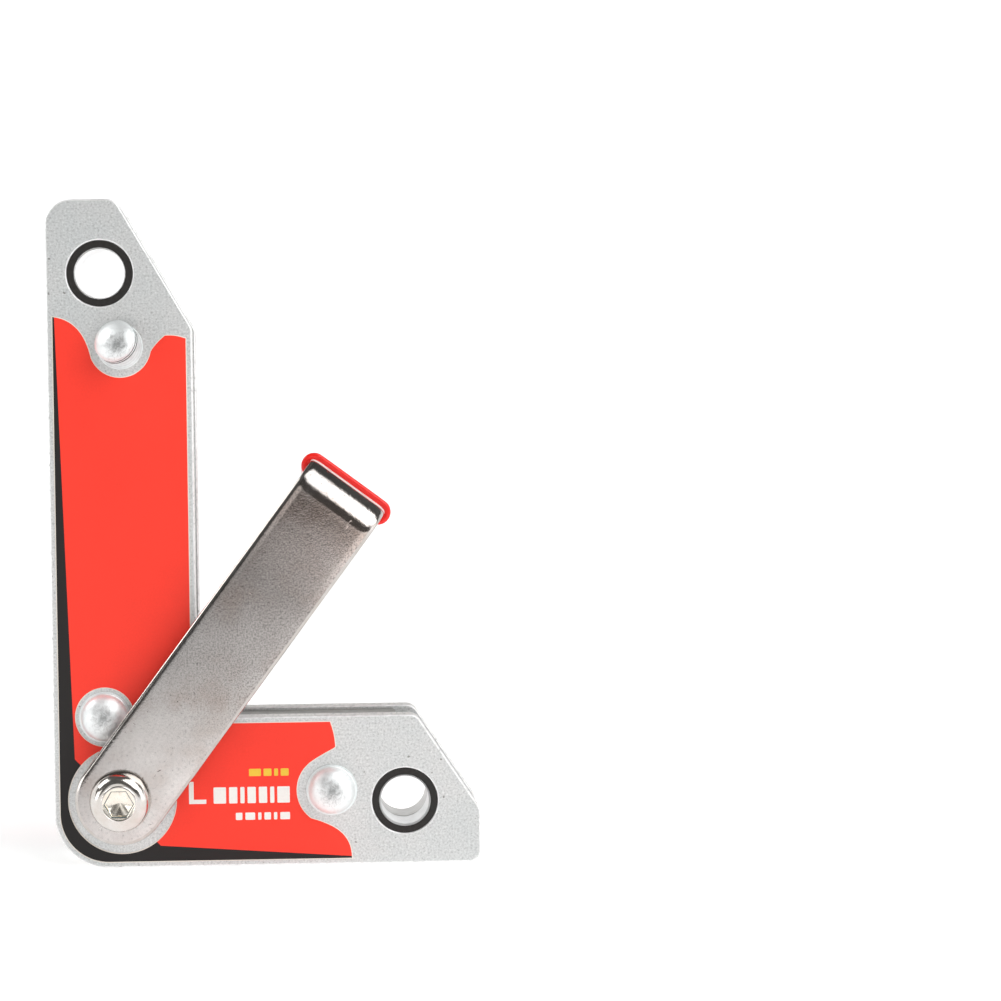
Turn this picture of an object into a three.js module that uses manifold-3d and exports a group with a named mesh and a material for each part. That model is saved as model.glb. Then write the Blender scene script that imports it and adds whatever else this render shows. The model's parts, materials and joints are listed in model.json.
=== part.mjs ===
// Welding magnet holder: two L-shaped steel plates with magnets clamped between them, and a lever
// whose cam pushes the two working edges off the work. Millimetres, +Z up, lever side facing -Y,
// standing on the short leg.
//
// Points are given as x along the short leg, z up the long leg, both from the outer corner, and
// d, the depth behind the outer face of the front plate. The exported group moves that corner so
// that the origin lies under the middle of the whole holder.

import * as THREE from "three";
import { mergeVertices } from "three/addons/utils/BufferGeometryUtils.js";
import Module from "manifold-3d";

const wasm = await Module();
wasm.setup();

// ---------------------------------------------------------------- driving dimensions

const HEIGHT = 155; // long leg, along z
const WIDTH = 99; // short leg, along x
const PLATE = 4; // thickness of each plate
const GAP = 10; // between the plates
const BODY = 2 * PLATE + GAP;
const EDGE = 0.4; // chamfer round every plate edge

const LONG_LEG = 33.4; // width of the long leg
const SHORT_LEG = 34.7; // height of the short leg
const OUTER_CORNER_R = 12.6;
const NOTCH = { r: 4.7, top: 45.8, slope: THREE.MathUtils.degToRad(17.3) };

const HOLES = { upper: [12.4, 137.9], lower: [81.4, 14.6] };
const RIVETS = { upper: [16.8, 121], corner: [12, 35.2], lower: [64.4, 17.4] };
const PIVOT = [16, 17.2];
const LABEL_EYE = [15.8, 15.8]; // round window in the front label, a little below the pivot

const RING = { outer: 7.85, inner: 6.15, seat: 7.95 };
const SLEEVE = { outer: 6.05, inner: 5.65, lip: 5.85, inset: 0.15 };

const RIVET = { shank: 2.2, head: 5.65, headHigh: 3.75, washer: 5.95, washerThick: 0.4 };
const TUBE = { outer: 3.5, inner: 2.35 };
const COLLAR = { outer: 3.9, neck: 3.1, inner: 2.35, proud: 0.8 };

const LEVER = { width: 21.4, thick: 3, under: 4.5, reach: 89, bend: 6, tabEnd: 16.2 };
const LEVER_REST = THREE.MathUtils.degToRad(53.2); // above the short leg
const GRIP = { thick: 7.2, width: 24.6, start: -1, end: 17.5, fit: 0.15 };

const SCREW = { head: 7, high: 4.4, flat: 4.4, shank: 4, length: 10, key: 5, keyDeep: 2.6 };
const SHAFT = { r: 6.5, frontFlats: 11, camFlats: 9, rearR: 3.5, rearInset: 2 };
const RUNNING = 0.08; // radial clearance of a turning fit
const FIT = 0.15; // clearance of a fixed fit
const SPACER_R = 10; // ring under the lever

const CAM = { hub: 9.5, lobeR: 4, side: 0.3 };
const CAM_LOBES = [
  { reach: 13.2, direction: THREE.MathUtils.degToRad(228) }, // at rest
  { reach: 14.4, direction: THREE.MathUtils.degToRad(318) },
];

const LABEL = { thick: 0.25, margin: 1.2 };
const MAGNET = { inset: 0.6, deep: 19.5, side: 0.2 };
const BAR = { wide: 9, inset: 0.7, side: 0.2 };

const LEVER_FRONT = -(LEVER.under + LEVER.thick);
const FRONT_REACH = LEVER_FRONT - SCREW.high;
const REAR_REACH = BODY + COLLAR.proud;
const ROUND = 28; // sides of a large round
const SMALL_ROUND = 20;
const ARC_STEPS = 3; // half the chords of one arc in an outline

// ---------------------------------------------------------------- materials

const paint = (color, roughness, metalness) =>
  new THREE.MeshStandardMaterial({ color, roughness, metalness });

const ZINC = () => paint(0xcfd2d0, 0.45, 0.85);
const VINYL = () => paint(0xf6402f, 0.45, 0);
const CHROME = () => paint(0xb4afad, 0.25, 1);
const BRIGHT = () => paint(0xe4e5e6, 0.3, 1);
const BLACK = () => paint(0x2f2d2c, 0.6, 0);
const STEEL = () => paint(0xa9a399, 0.4, 0.9);
const DIPPED_RED = () => paint(0xe8261f, 0.25, 0);
const FERRITE = () => paint(0x3a3b3e, 0.6, 0.3);

// ---------------------------------------------------------------- solids

function toSolid(geometry) {
  const bare = geometry.clone();
  bare.deleteAttribute("normal");
  bare.deleteAttribute("uv");
  const merged = mergeVertices(bare, 1e-4);
  return new wasm.Manifold(
    new wasm.Mesh({
      numProp: 3,
      vertProperties: new Float32Array(merged.attributes.position.array),
      triVerts: new Uint32Array(merged.index.array),
    }),
  );
}

function toGeometry(solid) {
  const mesh = solid.getMesh();
  const geometry = new THREE.BufferGeometry();
  geometry.setAttribute("position", new THREE.BufferAttribute(mesh.vertProperties, 3));
  geometry.setIndex(new THREE.BufferAttribute(mesh.triVerts, 1));
  geometry.computeVertexNormals();
  return geometry;
}

const cut = (body, ...tools) =>
  toGeometry(tools.reduce((left, tool) => left.subtract(toSolid(tool)), toSolid(body)));

const join = (body, ...others) =>
  toGeometry(others.reduce((sum, other) => sum.add(toSolid(other)), toSolid(body)));

const keepCommon = (a, b) => toGeometry(toSolid(a).intersect(toSolid(b)));

// An (x, z) shape carried through the depth from one d to another, with chamfered rims if asked.
function plateOf(shape, from, to, chamfer = 0) {
  const options = {
    depth: to - from - 2 * chamfer,
    curveSegments: ARC_STEPS,
    bevelEnabled: chamfer > 0,
    bevelThickness: chamfer,
    bevelSize: chamfer,
    bevelOffset: -chamfer,
    bevelSegments: 1,
  };
  return new THREE.ExtrudeGeometry(shape, options).rotateX(Math.PI / 2).translate(0, to - chamfer, 0);
}

// A solid of revolution about the depth axis; the profile's (r, d) points run counterclockwise.
// A profile that leaves the axis free is a ring, and is closed on itself.
function turned(profile, sides = ROUND) {
  const points = profile.map(([r, d]) => new THREE.Vector2(r, d));
  if (profile[0][0] > 0) points.push(points[0].clone());
  return new THREE.LatheGeometry(points, sides);
}

const ringOf = (outer, inner, from, to, sides = ROUND) =>
  turned([[inner, from], [outer, from], [outer, to], [inner, to]], sides);

// ---------------------------------------------------------------- outlines

// A closed outline through corners {x, z, r}, each rounded by an arc of its own radius.
function roundedShape(corners) {
  const shape = new THREE.Shape();
  corners.forEach((corner, i) => {
    const here = new THREE.Vector2(corner.x, corner.z);
    const before = corners[(i + corners.length - 1) % corners.length];
    const after = corners[(i + 1) % corners.length];
    const back = new THREE.Vector2(before.x, before.z).sub(here).normalize();
    const ahead = new THREE.Vector2(after.x, after.z).sub(here).normalize();
    const half = Math.acos(back.dot(ahead)) / 2;
    const centre = back.clone().add(ahead).setLength(corner.r / Math.sin(half)).add(here);
    const tangent = corner.r / Math.tan(half);
    const start = back.multiplyScalar(tangent).add(here).sub(centre).angle();
    const end = ahead.multiplyScalar(tangent).add(here).sub(centre).angle();
    const turn = (end - start + 2 * Math.PI) % (2 * Math.PI);
    shape.absarc(centre.x, centre.y, corner.r, start, end, turn > Math.PI);
  });
  shape.closePath();
  return shape;
}

// The outline of a belt pulled tight round circles {x, z, r}, listed counterclockwise.
function beltShape(circles) {
  const normals = circles.map((circle, i) => {
    const next = circles[(i + 1) % circles.length];
    const along = new THREE.Vector2(next.x - circle.x, next.z - circle.z);
    return along.angle() - Math.acos((circle.r - next.r) / along.length());
  });
  const shape = new THREE.Shape();
  circles.forEach((circle, i) => {
    const arrive = normals[(i + circles.length - 1) % circles.length];
    shape.absarc(circle.x, circle.z, circle.r, arrive, normals[i], false);
  });
  shape.closePath();
  return shape;
}

// A round hole, as four quarter arcs.
function circle([x, z], r) {
  const path = new THREE.Path();
  for (let quarter = 0; quarter < 4; quarter++) {
    path.absarc(x, z, r, (quarter * Math.PI) / 2, ((quarter + 1) * Math.PI) / 2, false);
  }
  return path;
}

// A round of radius r with two flats, which lie "across" apart.
function doubleD(r, across) {
  const half = Math.asin(across / 2 / r);
  const shape = new THREE.Shape();
  shape.absarc(0, 0, r, -half, half, false);
  shape.absarc(0, 0, r, Math.PI - half, Math.PI + half, false);
  shape.closePath();
  return shape;
}

// The corners of a plate's L, each with its rounding.
function elbowCorners() {
  return [
    { x: 0, z: 0, r: OUTER_CORNER_R },
    { x: WIDTH, z: 0, r: 2.2 },
    { x: WIDTH, z: 12.3, r: 3 },
    { x: 84.2, z: SHORT_LEG, r: 3 },
    { x: LONG_LEG - (NOTCH.top - SHORT_LEG) / Math.tan(NOTCH.slope), z: SHORT_LEG, r: NOTCH.r },
    { x: LONG_LEG, z: NOTCH.top, r: 1.2 },
    { x: LONG_LEG, z: 125, r: 3 },
    { x: 16, z: HEIGHT, r: 3 },
    { x: 0, z: HEIGHT, r: 6 },
  ];
}

// The label follows the plate's edges at a margin, and curves clear of the outer rivets.
function labelShape(eye, eyeR, cornerRivetClear) {
  const m = LABEL.margin;
  const [ux, uz] = RIVETS.upper;
  const [lx, lz] = RIVETS.lower;
  const shape = new THREE.Shape();
  shape.absarc(OUTER_CORNER_R, OUTER_CORNER_R, OUTER_CORNER_R - m, Math.PI, 1.5 * Math.PI, false);
  shape.lineTo(69.1, m);
  shape.bezierCurveTo(69.1, 6.4, 66.4, 9, lx - 4.8, lz - 6.4);
  shape.absarc(lx, lz, 8, 1.296 * Math.PI, 0.706 * Math.PI, true);
  shape.lineTo(65.4, 27.4);
  shape.lineTo(64.3, SHORT_LEG - m);
  shape.absarc(28.7, 39.4, NOTCH.r + m, 1.5 * Math.PI, 0.6 * Math.PI, true);
  shape.lineTo(LONG_LEG - m, 47);
  shape.lineTo(LONG_LEG - m, 123);
  shape.lineTo(27.3, 123.6);
  shape.quadraticCurveTo(24.4, 121.4, ux + 6.9, uz - 1.2);
  shape.absarc(ux, uz, 7, -0.055 * Math.PI, -0.88 * Math.PI, true);
  shape.bezierCurveTo(9.2, 123.5, 6.5, 128.2, m, 128.2);
  shape.closePath();
  shape.holes.push(circle(eye, eyeR), circle(RIVETS.corner, cornerRivetClear));
  return shape;
}

// ---------------------------------------------------------------- the fixed body

function plate(from, rivetHole, pivotHole) {
  const shape = roundedShape(elbowCorners());
  for (const at of Object.values(HOLES)) shape.holes.push(circle(at, RING.seat));
  for (const at of Object.values(RIVETS)) shape.holes.push(circle(at, rivetHole));
  shape.holes.push(circle(PIVOT, pivotHole));
  return plateOf(shape, from, from + PLATE, EDGE);
}

const label = (from, eye, eyeR, cornerRivetClear) =>
  plateOf(labelShape(eye, eyeR, cornerRivetClear), from, from + LABEL.thick);

// Half of the bright tube through a hole, with a lip that opens out at the plate's face.
function halfSleeve() {
  const middle = BODY / 2 - 0.05;
  return turned(
    [
      [SLEEVE.lip, SLEEVE.inset],
      [SLEEVE.outer, SLEEVE.inset],
      [SLEEVE.outer, middle],
      [SLEEVE.inner, middle],
      [SLEEVE.inner, SLEEVE.inset + 0.6],
    ],
    SMALL_ROUND,
  );
}

// A shank right through both plates, and a domed head with a small centre pip.
function rivet() {
  const base = -RIVET.washerThick;
  const rim = base - 0.8;
  const rise = RIVET.headHigh - 0.8;
  const dome = [];
  for (let i = 1; i <= 6; i++) {
    const t = (i / 6) * (Math.PI / 2);
    dome.push([RIVET.head * Math.sin(t), rim - rise * Math.cos(t)]);
  }
  return turned(
    [
      [0, rim - rise - 0.1],
      [0.5, rim - rise - 0.1],
      ...dome,
      [RIVET.head, base],
      [RIVET.shank, base],
      [RIVET.shank, BODY - 0.4],
      [RIVET.shank - 0.5, BODY],
      [0, BODY],
    ],
    SMALL_ROUND,
  );
}

const rivetWasher = () =>
  ringOf(RIVET.washer, RIVET.shank + FIT, -RIVET.washerThick, 0, SMALL_ROUND);

const rivetTube = () =>
  ringOf(TUBE.outer, TUBE.inner, PLATE + MAGNET.side, BODY - PLATE - MAGNET.side, SMALL_ROUND);

// The swaged ring that fills the rear plate's hole and stands proud of it.
function rivetCollar() {
  const top = BODY + COLLAR.proud;
  return turned(
    [
      [COLLAR.inner, BODY - PLATE + 0.2],
      [COLLAR.neck, BODY - PLATE + 0.2],
      [COLLAR.neck, BODY],
      [COLLAR.outer, BODY],
      [COLLAR.outer, top - 0.35],
      [COLLAR.outer - 0.4, top],
      [COLLAR.inner + 0.6, top],
      [COLLAR.inner, top - 0.5],
    ],
    SMALL_ROUND,
  );
}

// A block between the plates, from corner (x0, z0) to corner (x1, z1).
function block(x0, z0, x1, z1, side, r) {
  const corners = [
    { x: x0, z: z0, r },
    { x: x1, z: z0, r },
    { x: x1, z: z1, r },
    { x: x0, z: z1, r },
  ];
  return plateOf(roundedShape(corners), PLATE + side, BODY - PLATE - side);
}

// ---------------------------------------------------------------- the turning lever
// Built round the pivot with the lever along +X, and turned as one to its rest angle.

// A strip bent square to the rear at its far end, with a round end at the pivot.
function lever() {
  const front = LEVER_FRONT;
  const inner = LEVER.bend - LEVER.thick;
  const bendX = LEVER.reach - LEVER.bend;
  const bendD = front + LEVER.bend;
  const side = new THREE.Shape();
  side.moveTo(-LEVER.width, front);
  side.absarc(bendX, bendD, LEVER.bend, -Math.PI / 2, 0, false);
  side.lineTo(LEVER.reach, LEVER.tabEnd);
  side.lineTo(LEVER.reach - LEVER.thick, LEVER.tabEnd);
  side.absarc(bendX, bendD, inner, 0, -Math.PI / 2, true);
  side.lineTo(-LEVER.width, front + LEVER.thick);
  side.closePath();
  const strip = new THREE.ExtrudeGeometry(side, {
    depth: LEVER.width,
    bevelEnabled: false,
    curveSegments: ARC_STEPS,
  }).translate(0, 0, -LEVER.width / 2);
  const half = LEVER.width / 2;
  const plan = new THREE.Shape();
  plan.absarc(0, 0, half, Math.PI / 2, Math.PI, false);
  plan.absarc(0, 0, half, Math.PI, 1.5 * Math.PI, false);
  plan.lineTo(2 * LEVER.reach, -half);
  plan.lineTo(2 * LEVER.reach, half);
  plan.closePath();
  const blank = keepCommon(strip, plateOf(plan, -30, 30));
  const hole = doubleD(SHAFT.r + FIT, SHAFT.frontFlats + 2 * FIT);
  return cut(blank, plateOf(hole, -30, 30));
}

// The dipped coat round the lever's tab: a deep cup of stadium section.
function grip() {
  const middle = LEVER.reach - LEVER.thick / 2;
  const stadium = (thick, width) => {
    const r = thick / 2;
    const arm = width / 2 - r;
    return beltShape([
      { x: middle, z: -arm, r },
      { x: middle, z: arm, r },
    ]);
  };
  const outside = plateOf(stadium(GRIP.thick, GRIP.width), GRIP.start, GRIP.end, 1);
  const pocket = new THREE.BoxGeometry(
    LEVER.thick + 2 * GRIP.fit,
    2 * LEVER.tabEnd + 2 * GRIP.fit,
    LEVER.width + 2 * GRIP.fit,
  ).translate(middle, 0, 0);
  return cut(outside, pocket);
}

// A button-head screw with a hexagon socket.
function pivotScrew() {
  const top = FRONT_REACH;
  const seat = LEVER_FRONT;
  const tip = seat + SCREW.length;
  const dome = [];
  for (let i = 0; i <= 6; i++) {
    const t = (i / 6) * (Math.PI / 2);
    dome.push([
      SCREW.flat + (SCREW.head - SCREW.flat) * Math.sin(t),
      seat - 0.7 - (SCREW.high - 0.7) * Math.cos(t),
    ]);
  }
  const body = turned(
    [[0, top], ...dome, [SCREW.head, seat], [SCREW.shank, seat], [SCREW.shank, tip], [0, tip]],
    SMALL_ROUND,
  );
  const socket = new THREE.CylinderGeometry(SCREW.key / Math.sqrt(3), SCREW.key / Math.sqrt(3), 8, 6);
  return cut(body, socket.translate(0, top + SCREW.keyDeep - 4, 0));
}

// Front journal, two pairs of flats for lever and cam, and the small rear journal.
function pivotShaft() {
  const camFrom = PLATE + CAM.side;
  const camTo = BODY - PLATE - CAM.side;
  const front = plateOf(doubleD(SHAFT.r, SHAFT.frontFlats), LEVER_FRONT + 0.3, -LEVER.under);
  const journal = turned([[0, -LEVER.under], [SHAFT.r, -LEVER.under], [SHAFT.r, camFrom], [0, camFrom]]);
  const keyed = plateOf(doubleD(SHAFT.r, SHAFT.camFlats), camFrom, camTo);
  const end = BODY - SHAFT.rearInset;
  const rear = turned(
    [[0, camTo], [SHAFT.rearR, camTo], [SHAFT.rearR, end - 0.6], [SHAFT.rearR - 0.6, end], [0, end]],
    SMALL_ROUND,
  );
  const bore = turned(
    [[0, LEVER_FRONT - 1], [SCREW.shank + FIT, LEVER_FRONT - 1], [SCREW.shank + FIT, 3.5], [0, 3.5]],
    SMALL_ROUND,
  );
  return cut(join(front, journal, keyed, rear), bore);
}

// Two lobes: as the lever comes down they swing square to the two working edges and stand proud.
function releaseCam() {
  const lobes = CAM_LOBES.map(({ reach, direction }) => ({
    x: reach * Math.cos(direction - LEVER_REST),
    z: reach * Math.sin(direction - LEVER_REST),
    r: CAM.lobeR,
  }));
  const shape = beltShape([{ x: 0, z: 0, r: CAM.hub }, ...lobes]);
  shape.holes.push(doubleD(SHAFT.r + FIT, SHAFT.camFlats + 2 * FIT));
  return plateOf(shape, PLATE + CAM.side, BODY - PLATE - CAM.side);
}

// ---------------------------------------------------------------- assembly

const holder = new THREE.Group();
const moving = new THREE.Group();

function add(group, name, geometry, material, [x, z] = [0, 0]) {
  const mesh = new THREE.Mesh(geometry, material);
  mesh.name = name;
  mesh.position.set(x, 0, z);
  group.add(mesh);
  return mesh;
}

// Turns a piece made for the front of a hole end for end, to serve at the rear.
function turnToRear(mesh) {
  mesh.rotation.x = Math.PI;
  mesh.position.y = BODY;
  return mesh;
}

function addPlatesAndLabels() {
  add(holder, "front_plate", plate(0, RIVET.shank + FIT, 8.1), ZINC());
  add(holder, "rear_plate", plate(BODY - PLATE, COLLAR.neck + 0.05, 4.6), ZINC());
  add(holder, "front_label", label(-LABEL.thick, LABEL_EYE, 12.4, 6.7), VINYL());
  add(holder, "rear_label", label(BODY, PIVOT, 5.3, 5.65), VINYL());
}

function addHoleLinings() {
  const ring = () => ringOf(RING.outer, RING.inner, 0.05, PLATE - 0.1);
  for (const [where, at] of Object.entries(HOLES)) {
    add(holder, `${where}_ring_front`, ring(), BLACK(), at);
    turnToRear(add(holder, `${where}_ring_rear`, ring(), BLACK(), at));
    add(holder, `${where}_sleeve_front`, halfSleeve(), BRIGHT(), at);
    turnToRear(add(holder, `${where}_sleeve_rear`, halfSleeve(), BRIGHT(), at));
  }
}

function addRivets() {
  for (const [where, at] of Object.entries(RIVETS)) {
    add(holder, `rivet_${where}`, rivet(), BRIGHT(), at);
    add(holder, `rivet_washer_${where}`, rivetWasher(), BRIGHT(), at);
    add(holder, `rivet_tube_${where}`, rivetTube(), STEEL(), at);
    add(holder, `rivet_collar_${where}`, rivetCollar(), ZINC(), at);
  }
}

function addMagnetsAndBars() {
  const near = MAGNET.inset;
  const far = MAGNET.inset + MAGNET.deep;
  const magnet = (x0, z0, x1, z1) => block(x0, z0, x1, z1, MAGNET.side, 0.8);
  add(holder, "magnet_long_lower", magnet(near, 42, far, 77), FERRITE());
  add(holder, "magnet_long_upper", magnet(near, 77.4, far, 112.4), FERRITE());
  add(holder, "magnet_short", magnet(35.5, near, 59.5, far), FERRITE());
  const barX = LONG_LEG - BAR.inset;
  const barZ = SHORT_LEG - BAR.inset;
  add(holder, "spacer_bar_long", block(barX - BAR.wide, 49, barX, 123, BAR.side, 0.8), STEEL());
  add(holder, "spacer_bar_short", block(37, barZ - BAR.wide, 80, barZ, BAR.side, 0.8), STEEL());
}

function addBushes() {
  const rearBore = SHAFT.rearR + RUNNING;
  add(holder, "front_bush", ringOf(8, SHAFT.r + RUNNING, 0.05, PLATE), BLACK(), PIVOT);
  add(holder, "rear_bush", ringOf(4.5, rearBore, BODY - PLATE, BODY - 1.2), BLACK(), PIVOT);
}

function addLever() {
  add(moving, "lever", lever(), CHROME());
  add(moving, "grip", grip(), DIPPED_RED());
  add(moving, "pivot_screw", pivotScrew(), CHROME());
  add(moving, "pivot_shaft", pivotShaft(), STEEL());
  add(moving, "lever_spacer", ringOf(SPACER_R, SHAFT.r + FIT, -LEVER.under, -0.3), STEEL());
  add(moving, "release_cam", releaseCam(), STEEL());
  moving.position.set(PIVOT[0], 0, PIVOT[1]);
  moving.rotation.y = -LEVER_REST;
  holder.add(moving);
}

addPlatesAndLabels();
addHoleLinings();
addRivets();
addMagnetsAndBars();
addBushes();
addLever();

holder.position.set(-WIDTH / 2, -(FRONT_REACH + REAR_REACH) / 2, 0);

const part = new THREE.Group();
part.add(holder);

export default part;
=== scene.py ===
import json
import math

import bmesh
import bpy
from mathutils import Matrix, Vector


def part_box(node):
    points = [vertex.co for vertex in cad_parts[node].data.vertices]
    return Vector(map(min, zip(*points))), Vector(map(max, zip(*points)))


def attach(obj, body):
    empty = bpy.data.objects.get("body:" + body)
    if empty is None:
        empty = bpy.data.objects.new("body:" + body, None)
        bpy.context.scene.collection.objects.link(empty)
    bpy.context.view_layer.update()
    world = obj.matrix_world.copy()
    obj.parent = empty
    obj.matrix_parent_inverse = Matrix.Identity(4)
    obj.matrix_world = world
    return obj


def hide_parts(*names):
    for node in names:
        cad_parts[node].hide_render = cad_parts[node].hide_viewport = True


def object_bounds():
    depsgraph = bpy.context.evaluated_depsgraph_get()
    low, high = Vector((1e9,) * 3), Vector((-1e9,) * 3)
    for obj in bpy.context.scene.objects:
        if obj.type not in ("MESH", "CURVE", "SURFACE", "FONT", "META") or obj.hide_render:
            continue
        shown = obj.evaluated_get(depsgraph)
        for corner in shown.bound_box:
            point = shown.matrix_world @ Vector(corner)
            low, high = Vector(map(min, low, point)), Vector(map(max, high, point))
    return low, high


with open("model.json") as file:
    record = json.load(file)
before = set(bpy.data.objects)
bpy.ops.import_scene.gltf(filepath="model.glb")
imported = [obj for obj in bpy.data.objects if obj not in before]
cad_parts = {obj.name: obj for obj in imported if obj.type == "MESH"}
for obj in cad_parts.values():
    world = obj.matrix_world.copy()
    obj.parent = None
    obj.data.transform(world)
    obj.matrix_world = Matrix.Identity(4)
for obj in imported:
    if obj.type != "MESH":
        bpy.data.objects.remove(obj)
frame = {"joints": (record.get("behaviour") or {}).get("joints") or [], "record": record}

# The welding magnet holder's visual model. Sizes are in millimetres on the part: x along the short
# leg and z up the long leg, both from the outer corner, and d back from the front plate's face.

CAD_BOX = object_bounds()
MM = 0.001
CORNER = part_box("front_plate")[0]
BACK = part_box("rear_plate")[1]
RECORD = frame["record"]
BODY_OF = {node: body for body, nodes in RECORD["behaviour"]["bodies"].items() for node in nodes}
SLOT_OF = {entry["node"]: entry["material_slot"] for entry in RECORD["subparts"]}
JOINT = frame["joints"][0]


# -------------------- places, read from the frame

def local(point):
    """A point of the row frame as (x, d, z) on the part, in millimetres."""
    return tuple((Vector(point) - CORNER) / MM)


def extent(node):
    """A node's (low, high) corners as (x, d, z), in millimetres."""
    low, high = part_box(node)
    return local(low), local(high)


def centre(node):
    """The (x, z) middle of a node, in millimetres."""
    low, high = extent(node)
    return (low[0] + high[0]) / 2, (low[2] + high[2]) / 2


def radius(node):
    low, high = extent(node)
    return (high[2] - low[2]) / 2


WIDTH, BODY, HEIGHT = local(BACK)
PIVOT = (local(JOINT["pos_m"])[0], local(JOINT["pos_m"])[2])
HOLES = {where: centre(f"{where}_ring_front") for where in ("upper", "lower")}
RIVETS = {where: centre(f"rivet_{where}") for where in ("upper", "corner", "lower")}

# -------------------- driving dimensions

RING_SEAT = 7.62
LONG_LEG = 33.4
SHORT_LEG = 34.7
OUTER_CORNER = 12.6
NOTCH_R = 4.7
NOTCH_TOP = 45.8
NOTCH_SLOPE = math.radians(17.3)
SHORT_TIP_HEIGHT = 12.3
SHORT_CLIP_X = 84.2
LONG_TIP_WIDTH = 16
LONG_CLIP_Z = 125
CLIP_R = 3
PLATE_EDGE = (0.35, 0.3)

LABEL_MARGIN = 1.2
LABEL_THICK = 0.16
LABEL_EDGE = (0.2, 0.1)
LABEL_EYE = (15.8, 15.8)
LABEL_EYE_R = 12.4
PRINT_THICK = 0.03
PRINT_MIRROR = 82

LEVER_WIDTH = 20.9
LEVER_THICK = 3
LEVER_REACH = 89.25
LEVER_BEND = 7.4
LEVER_EDGE = (2.3, 0.9)
LEVER_EASE = 1.25
LEVER_REST = math.radians(53.2)
LEVER_FRONT = extent("lever")[0][1]
TAB_END = 16.2
BEND_AT = LEVER_REACH - LEVER_BEND
BEND_R = LEVER_BEND - LEVER_THICK / 2
BEND_LENGTH = BEND_R * math.pi / 2
# Where the painted highlight on the outside of the bend begins.
BEND_HIGHLIGHT_FROM = BEND_AT + 0.79 * BEND_LENGTH

GRIP_THICK = 6.1
GRIP_WIDTH = 24.3
GRIP_SOFT = 3.6

RIVET_SHANK = 2.2
RIVET_BORE = RIVET_SHANK + 0.15
SWAGE_BORE = 3.08
HEAD_REACH = 5.6
HEAD_BAND = 0.4
LOOSE_HIGH = 4.2
LOOSE_REACH = 4.95
LOOSE_BAND = 2.2
LOOSE_TILT = math.radians(-30)
LOOSE_WASHER = 5.3

SHAFT_R = 6.5
SHAFT_BORE = 6.65
JOURNAL_R = 3.5
CAM_LOBES = ((13.2, 228), (14.4, 318))
CAM_LOBE_R = 4
CAM_HUB = 9.5
HEX_KEY = 5.6
SCREW_FLAT = 4.2

WELD = 1e-4
SHARP = math.radians(38)
# The sockets of a colour Mix node, which share their names with others.
MIX_A, MIX_B, MIX_RESULT = 6, 7, 2
# The ring spacing of a wave texture whose scale is 1.
WAVE_SPACING = 0.314

# -------------------- outlines in the plate's plane

def polar(middle, r, angle):
    """The point at r and an angle, in radians, from middle."""
    return middle[0] + r * math.cos(angle), middle[1] + r * math.sin(angle)


class Pen:
    """Draws a closed outline, stroke by stroke."""

    def __init__(self, *start):
        self.points = list(start)

    def to(self, *points):
        self.points += points
        return self

    def arc(self, middle, r, start, end):
        """Round middle, from one angle to another, in degrees."""
        steps = max(3, round(abs(end - start) / 5))
        for i in range(steps + 1):
            angle = math.radians(start + (end - start) * i / steps)
            self.points.append(polar(middle, r, angle))
        return self

    def bezier(self, first, second, end, steps=14):
        """A cubic curve from the last point, by two handles, to end."""
        start = Vector(self.points[-1])
        a, b, c = Vector(first), Vector(second), Vector(end)
        for i in range(1, steps + 1):
            t = i / steps
            u = 1 - t
            point = u**3 * start + 3 * u * u * t * a + 3 * u * t * t * b + t**3 * c
            self.points.append(tuple(point))
        return self


def rounded(corners, step=6):
    """A closed outline through corners (x, z, r), each turned into an arc of its radius."""
    points = []
    for i, (x, z, r) in enumerate(corners):
        here = Vector((x, z))
        back = (Vector(corners[i - 1][:2]) - here).normalized()
        ahead = (Vector(corners[(i + 1) % len(corners)][:2]) - here).normalized()
        half = back.angle(ahead) / 2
        if r < 1e-6:
            points.append((x, z))
            continue
        middle = here + (back + ahead).normalized() * (r / math.sin(half))
        start = here + back * (r / math.tan(half)) - middle
        sweep = math.pi - 2 * half
        if back.x * ahead.y - back.y * ahead.x > 0:
            sweep = -sweep
        steps = max(2, math.ceil(math.degrees(abs(sweep)) / step))
        first = math.atan2(start.y, start.x)
        for k in range(steps + 1):
            points.append(polar(middle, r, first + sweep * k / steps))
    return points


def circle(middle, r, sides=96):
    return [polar(middle, r, 2 * math.pi * i / sides) for i in range(sides)]


def belt(circles, step=5):
    """The outline of a belt pulled round circles (x, z, r), listed counterclockwise."""
    normals = []
    for i, (x, z, r) in enumerate(circles):
        nx, nz, nr = circles[(i + 1) % len(circles)]
        along = math.atan2(nz - z, nx - x)
        normals.append(along - math.acos((r - nr) / math.hypot(nx - x, nz - z)))
    points = []
    for i, (x, z, r) in enumerate(circles):
        sweep = (normals[i] - normals[i - 1]) % (2 * math.pi)
        steps = max(2, math.ceil(math.degrees(sweep) / step))
        for k in range(steps + 1):
            points.append(polar((x, z), r, normals[i - 1] + sweep * k / steps))
    return points


def elbow():
    """The L of both plates."""
    notch_x = LONG_LEG - (NOTCH_TOP - SHORT_LEG) / math.tan(NOTCH_SLOPE)
    return rounded(
        [
            (0, 0, OUTER_CORNER),
            (WIDTH, 0, 2.8),
            (WIDTH, SHORT_TIP_HEIGHT, CLIP_R),
            (SHORT_CLIP_X, SHORT_LEG, CLIP_R),
            (notch_x, SHORT_LEG, NOTCH_R),
            (LONG_LEG, NOTCH_TOP, 1.2),
            (LONG_LEG, LONG_CLIP_Z, CLIP_R),
            (LONG_TIP_WIDTH, HEIGHT, CLIP_R),
            (0, HEIGHT, 6),
        ]
    )


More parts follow.
